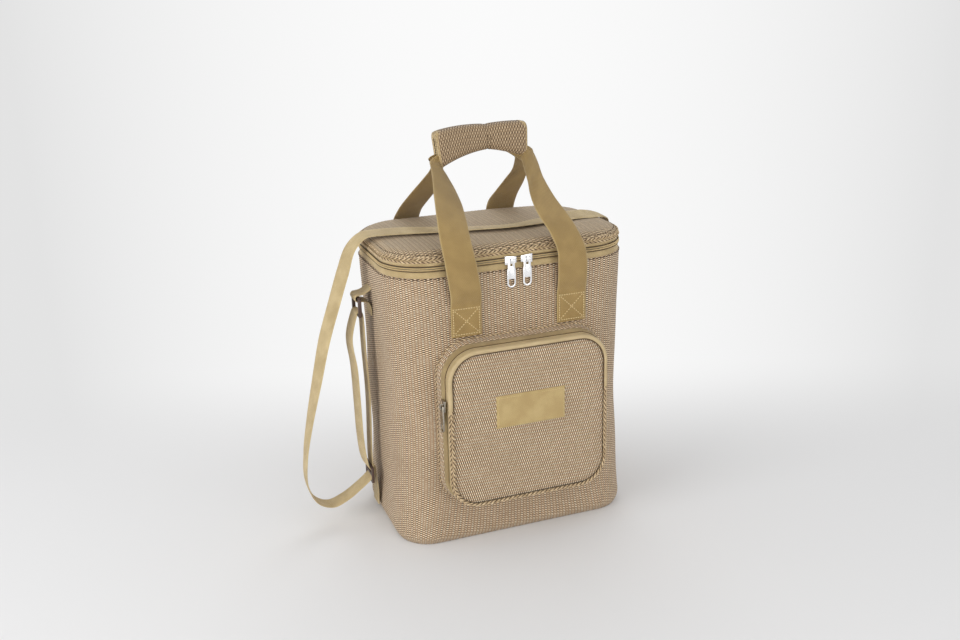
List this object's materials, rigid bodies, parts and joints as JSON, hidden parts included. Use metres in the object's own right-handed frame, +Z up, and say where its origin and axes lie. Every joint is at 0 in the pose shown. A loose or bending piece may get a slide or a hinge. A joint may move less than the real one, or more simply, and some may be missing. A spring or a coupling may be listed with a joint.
{
  "type": "insulated cooler bag",
  "caption": "Woven soft-sided cooler bag with a zipped hinged lid, zipped front pocket, paired webbing handles in a padded grip, and a webbing shoulder strap on side rings.",
  "frame": {"origin": "centre of the underside, on the surface the bag stands on", "axes": "+Z up, +X to the bag's right as seen from the front, front face and pocket towards -Y"},
  "size_m": [0.4275, 0.2448, 0.4982],
  "materials": {
    "body_weave": "ribbed straw-look weave",
    "pocket_weave": "ribbed straw-look weave, ribs level",
    "piping_weave": "woven piping bead",
    "grip_weave": "ribbed straw-look weave over padding",
    "handle_webbing": "smooth khaki webbing",
    "strap_webbing": "pale khaki webbing",
    "zip_tape": "khaki zip tape",
    "zip_coil": "nylon coil",
    "foam": "closed-cell foam sheet",
    "foil_liner": "aluminised liner film",
    "label": "smooth tan patch",
    "brown_plastic": "moulded dark brown plastic",
    "zip_metal": "bright nickel"
  },
  "bodies": {
    "bag": {"body_panel": "body_weave", "base_panel": "body_weave", "foam_base": "foam", "foam_wall": "foam", "liner_tub": "foil_liner", "rim_binding": "zip_tape", "zip_tape_lower": "zip_tape", "zip_coil_lower": "zip_coil", "hinge_strip_lower": "body_weave", "pocket_gusset": "body_weave", "pocket_zip_tape_inner": "zip_tape", "pocket_front_lower": "pocket_weave", "pocket_piping_lower": "piping_weave", "label_patch": "label", "handle_end_front_left": "handle_webbing", "handle_end_front_right": "handle_webbing", "handle_end_rear_left": "handle_webbing", "handle_end_rear_right": "handle_webbing", "side_tab_left": "strap_webbing", "side_tab_right": "strap_webbing", "shoulder_strap": "strap_webbing", "shoulder_strap_fold": "strap_webbing"},
    "lid": {"lid_panel": "body_weave", "lid_foam": "foam", "lid_liner": "foil_liner", "lid_piping": "piping_weave", "zip_tape_upper": "zip_tape", "zip_coil_upper": "zip_coil", "hinge_strip_upper": "body_weave"},
    "front_handle": {"front_handle_strap": "handle_webbing", "grip_wrap": "grip_weave"},
    "rear_handle": {"rear_handle_strap": "handle_webbing", "grip_closing_leaf": "grip_weave"},
    "slider_left": {"main_slider_left": "zip_metal"},
    "slider_right": {"main_slider_right": "zip_metal"},
    "pull_left": {"main_pull_left": "zip_metal"},
    "pull_right": {"main_pull_right": "zip_metal"},
    "pocket_flap": {"pocket_front_upper": "pocket_weave", "pocket_piping_upper": "piping_weave", "pocket_zip_tape_outer": "zip_tape"},
    "pocket_zip_slider": {"pocket_slider": "zip_metal"},
    "pocket_zip_pull": {"pocket_pull": "zip_metal"},
    "ring_left": {"side_ring_left": "brown_plastic"},
    "ring_right": {"side_ring_right": "brown_plastic"},
    "adjuster": {"strap_adjuster": "brown_plastic"}
  },
  "joints": [
    {"name": "lid_hinge", "type": "hinge", "parent": "bag", "child": "lid", "pos_m": [0, 0.0983, 0.353], "axis": [-1, 0, 0], "range_deg": [0, 80], "deforming": ["shoulder_strap"]},
    {"name": "front_handle_swing", "type": "hinge", "parent": "bag", "child": "front_handle", "pos_m": [0, -0.1007, 0.305], "axis": [1, 0, 0], "range_deg": [0, 120]},
    {"name": "rear_handle_swing", "type": "hinge", "parent": "bag", "child": "rear_handle", "pos_m": [0, 0.1007, 0.305], "axis": [-1, 0, 0], "range_deg": [0, 120]},
    {"name": "left_slider_run", "type": "slide", "parent": "bag", "child": "slider_left", "axis": [-1, 0, 0], "range_m": [0, 0.076]},
    {"name": "right_slider_run", "type": "slide", "parent": "bag", "child": "slider_right", "axis": [1, 0, 0], "range_m": [0, 0.076]},
    {"name": "left_pull_lift", "type": "hinge", "parent": "slider_left", "child": "pull_left", "pos_m": [-0.01, -0.10085, 0.35355], "axis": [-1, 0, 0], "range_deg": [0, 100]},
    {"name": "right_pull_lift", "type": "hinge", "parent": "slider_right", "child": "pull_right", "pos_m": [0.01, -0.10085, 0.35355], "axis": [-1, 0, 0], "range_deg": [0, 100]},
    {"name": "pocket_fold", "type": "hinge", "parent": "bag", "child": "pocket_flap", "pos_m": [0, -0.1325, 0.20515], "axis": [1, 0, 0], "range_deg": [0, 60]},
    {"name": "pocket_slider_run", "type": "slide", "parent": "bag", "child": "pocket_zip_slider", "axis": [0, 0, 1], "range_m": [0, 0.022]},
    {"name": "pocket_pull_lift", "type": "hinge", "parent": "pocket_zip_slider", "child": "pocket_zip_pull", "pos_m": [-0.10712, -0.119, 0.19455], "axis": [0, 1, 0], "range_deg": [0, 100]},
    {"name": "left_ring_swing", "type": "hinge", "parent": "bag", "child": "ring_left", "pos_m": [-0.169, 0.012, 0.299], "axis": [0, 1, 0], "range_deg": [0, 40], "deforming": ["shoulder_strap_fold"]},
    {"name": "right_ring_swing", "type": "hinge", "parent": "bag", "child": "ring_right", "pos_m": [0.169, 0.012, 0.299], "axis": [0, -1, 0], "range_deg": [0, 40]},
    {"name": "adjuster_slide", "type": "slide", "parent": "bag", "child": "adjuster", "axis": [0, 0, 1], "range_m": [0, 0.1]}
  ],
  "couplings": [
    {"joint": "front_handle_swing", "follows": "lid_hinge", "ratio": 1.5},
    {"joint": "rear_handle_swing", "follows": "lid_hinge", "ratio": 1.5}
  ]
}
